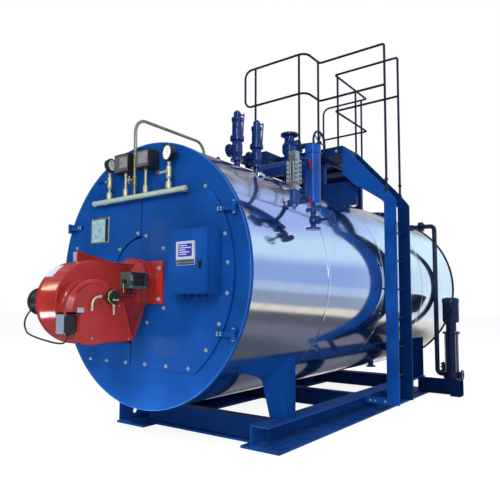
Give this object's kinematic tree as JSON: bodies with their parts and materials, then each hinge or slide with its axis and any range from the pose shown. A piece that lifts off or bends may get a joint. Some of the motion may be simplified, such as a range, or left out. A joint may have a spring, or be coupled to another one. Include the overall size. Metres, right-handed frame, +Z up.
{
  "type": "packaged fire-tube steam boiler",
  "caption": "Horizontal round-shell steam boiler on a skid, with a front burner on hinged doors, top valves, a side water column, a platform with handrails and a ladder, and a feed pump.",
  "frame": {"origin": "on the floor at the centre of the rectangle of the skid floor bolts", "axes": "+Z up, -Y towards the burner and doors, +X towards the ladder and water column"},
  "size_m": [2.4189, 5.7206, 3.9045],
  "materials": {
    "blue_paint": "satin",
    "dark_blue_paint": "gloss",
    "column_blue": "gloss",
    "dark_rail": "satin",
    "polished_jacket": "polished",
    "bright_steel": "satin",
    "burner_red": "gloss",
    "black_plastic": "matte",
    "cable_rubber": "matte",
    "brass": "satin",
    "siphon_copper": "satin",
    "gauge_case": "gloss",
    "lever_blue": "gloss",
    "lever_red": "gloss",
    "pale_plastic": "satin",
    "boiler_steel": "matte"
  },
  "bodies": {
    "boiler": {"saddle_legs": "blue_paint", "skid_rails": "blue_paint", "cross_beams": "blue_paint", "pump_beam": "blue_paint", "front_ring": "blue_paint", "rear_plate": "blue_paint", "platform_deck": "blue_paint", "platform_landing": "blue_paint", "platform_frame": "blue_paint", "ladder_stringers": "blue_paint", "ladder_rungs": "blue_paint", "flue_outlet": "blue_paint", "safety_valves": "dark_blue_paint", "steam_valve": "dark_blue_paint", "drain_valve": "dark_blue_paint", "shell_nozzles": "dark_blue_paint", "feed_line": "dark_blue_paint", "feed_pump": "dark_blue_paint", "pump_motor": "dark_blue_paint", "water_column": "column_blue", "handrail_top": "dark_rail", "handrail_posts": "dark_rail", "handrail_middle": "dark_rail", "shell_jacket": "polished_jacket", "column_pipes": "bright_steel", "level_gauge": "bright_steel", "switch_left": "black_plastic", "switch_right": "black_plastic", "gauge_header": "brass", "header_fittings": "brass", "siphon_pipe": "siphon_copper", "gauge_left": "gauge_case", "gauge_right": "gauge_case", "front_tube_plate": "boiler_steel", "furnace_tube": "boiler_steel", "smoke_tubes": "boiler_steel", "rear_tube_plate": "boiler_steel"},
    "door_left": {"door_left": "blue_paint", "name_plate": "bright_steel"},
    "door_right": {"door_right": "blue_paint", "burner_flange": "burner_red", "burner_housing": "burner_red", "burner_intake": "burner_red", "burner_motor": "black_plastic", "burner_box": "black_plastic", "burner_servo": "black_plastic", "burner_air_switch": "black_plastic", "burner_cable": "cable_rubber", "cabinet_box": "blue_paint"},
    "cabinet_door": {"cabinet_door": "blue_paint", "cabinet_display": "pale_plastic", "cabinet_handle": "black_plastic"},
    "steam_handwheel": {"steam_handwheel": "dark_blue_paint"},
    "drain_handwheel": {"drain_handwheel": "dark_blue_paint"},
    "gauge_lever_left": {"gauge_lever_left": "lever_blue"},
    "gauge_lever_right": {"gauge_lever_right": "lever_red"},
    "cock_lever_lower": {"cock_lever_lower": "lever_red"},
    "cock_lever_upper": {"cock_lever_upper": "lever_red"}
  },
  "joints": [
    {"name": "door_left_hinge", "type": "hinge", "parent": "boiler", "child": "door_left", "pos_m": [-0.932, -2.422, 1.36], "axis": [0, 0, -1], "range_deg": [0, 100]},
    {"name": "door_right_hinge", "type": "hinge", "parent": "boiler", "child": "door_right", "pos_m": [0.932, -2.422, 1.36], "axis": [0, 0, 1], "range_deg": [0, 100]},
    {"name": "cabinet_hinge", "type": "hinge", "parent": "door_right", "child": "cabinet_door", "pos_m": [0.432, -2.551, 1.425], "axis": [0, 0, -1], "range_deg": [0, 100]},
    {"name": "steam_wheel_turn", "type": "hinge", "parent": "boiler", "child": "steam_handwheel", "pos_m": [0.385, -0.213, 2.905], "axis": [1, 0, 0], "continuous": true},
    {"name": "drain_wheel_turn", "type": "hinge", "parent": "boiler", "child": "drain_handwheel", "pos_m": [1.271, -1.639, 1.786], "axis": [1, 0, 0], "continuous": true},
    {"name": "gauge_lever_left_turn", "type": "hinge", "parent": "boiler", "child": "gauge_lever_left", "pos_m": [-0.358, -2.45, 2.13], "axis": [0, -1, 0], "range_deg": [0, 90]},
    {"name": "gauge_lever_right_turn", "type": "hinge", "parent": "boiler", "child": "gauge_lever_right", "pos_m": [0.331, -2.45, 2.118], "axis": [0, -1, 0], "range_deg": [0, 90]},
    {"name": "cock_lever_lower_turn", "type": "hinge", "parent": "boiler", "child": "cock_lever_lower", "pos_m": [1.11, -1.78, 1.945], "axis": [-1, 0, 0], "range_deg": [0, 90]},
    {"name": "cock_lever_upper_turn", "type": "hinge", "parent": "boiler", "child": "cock_lever_upper", "pos_m": [1.11, -1.78, 2.235], "axis": [-1, 0, 0], "range_deg": [0, 90]}
  ]
}
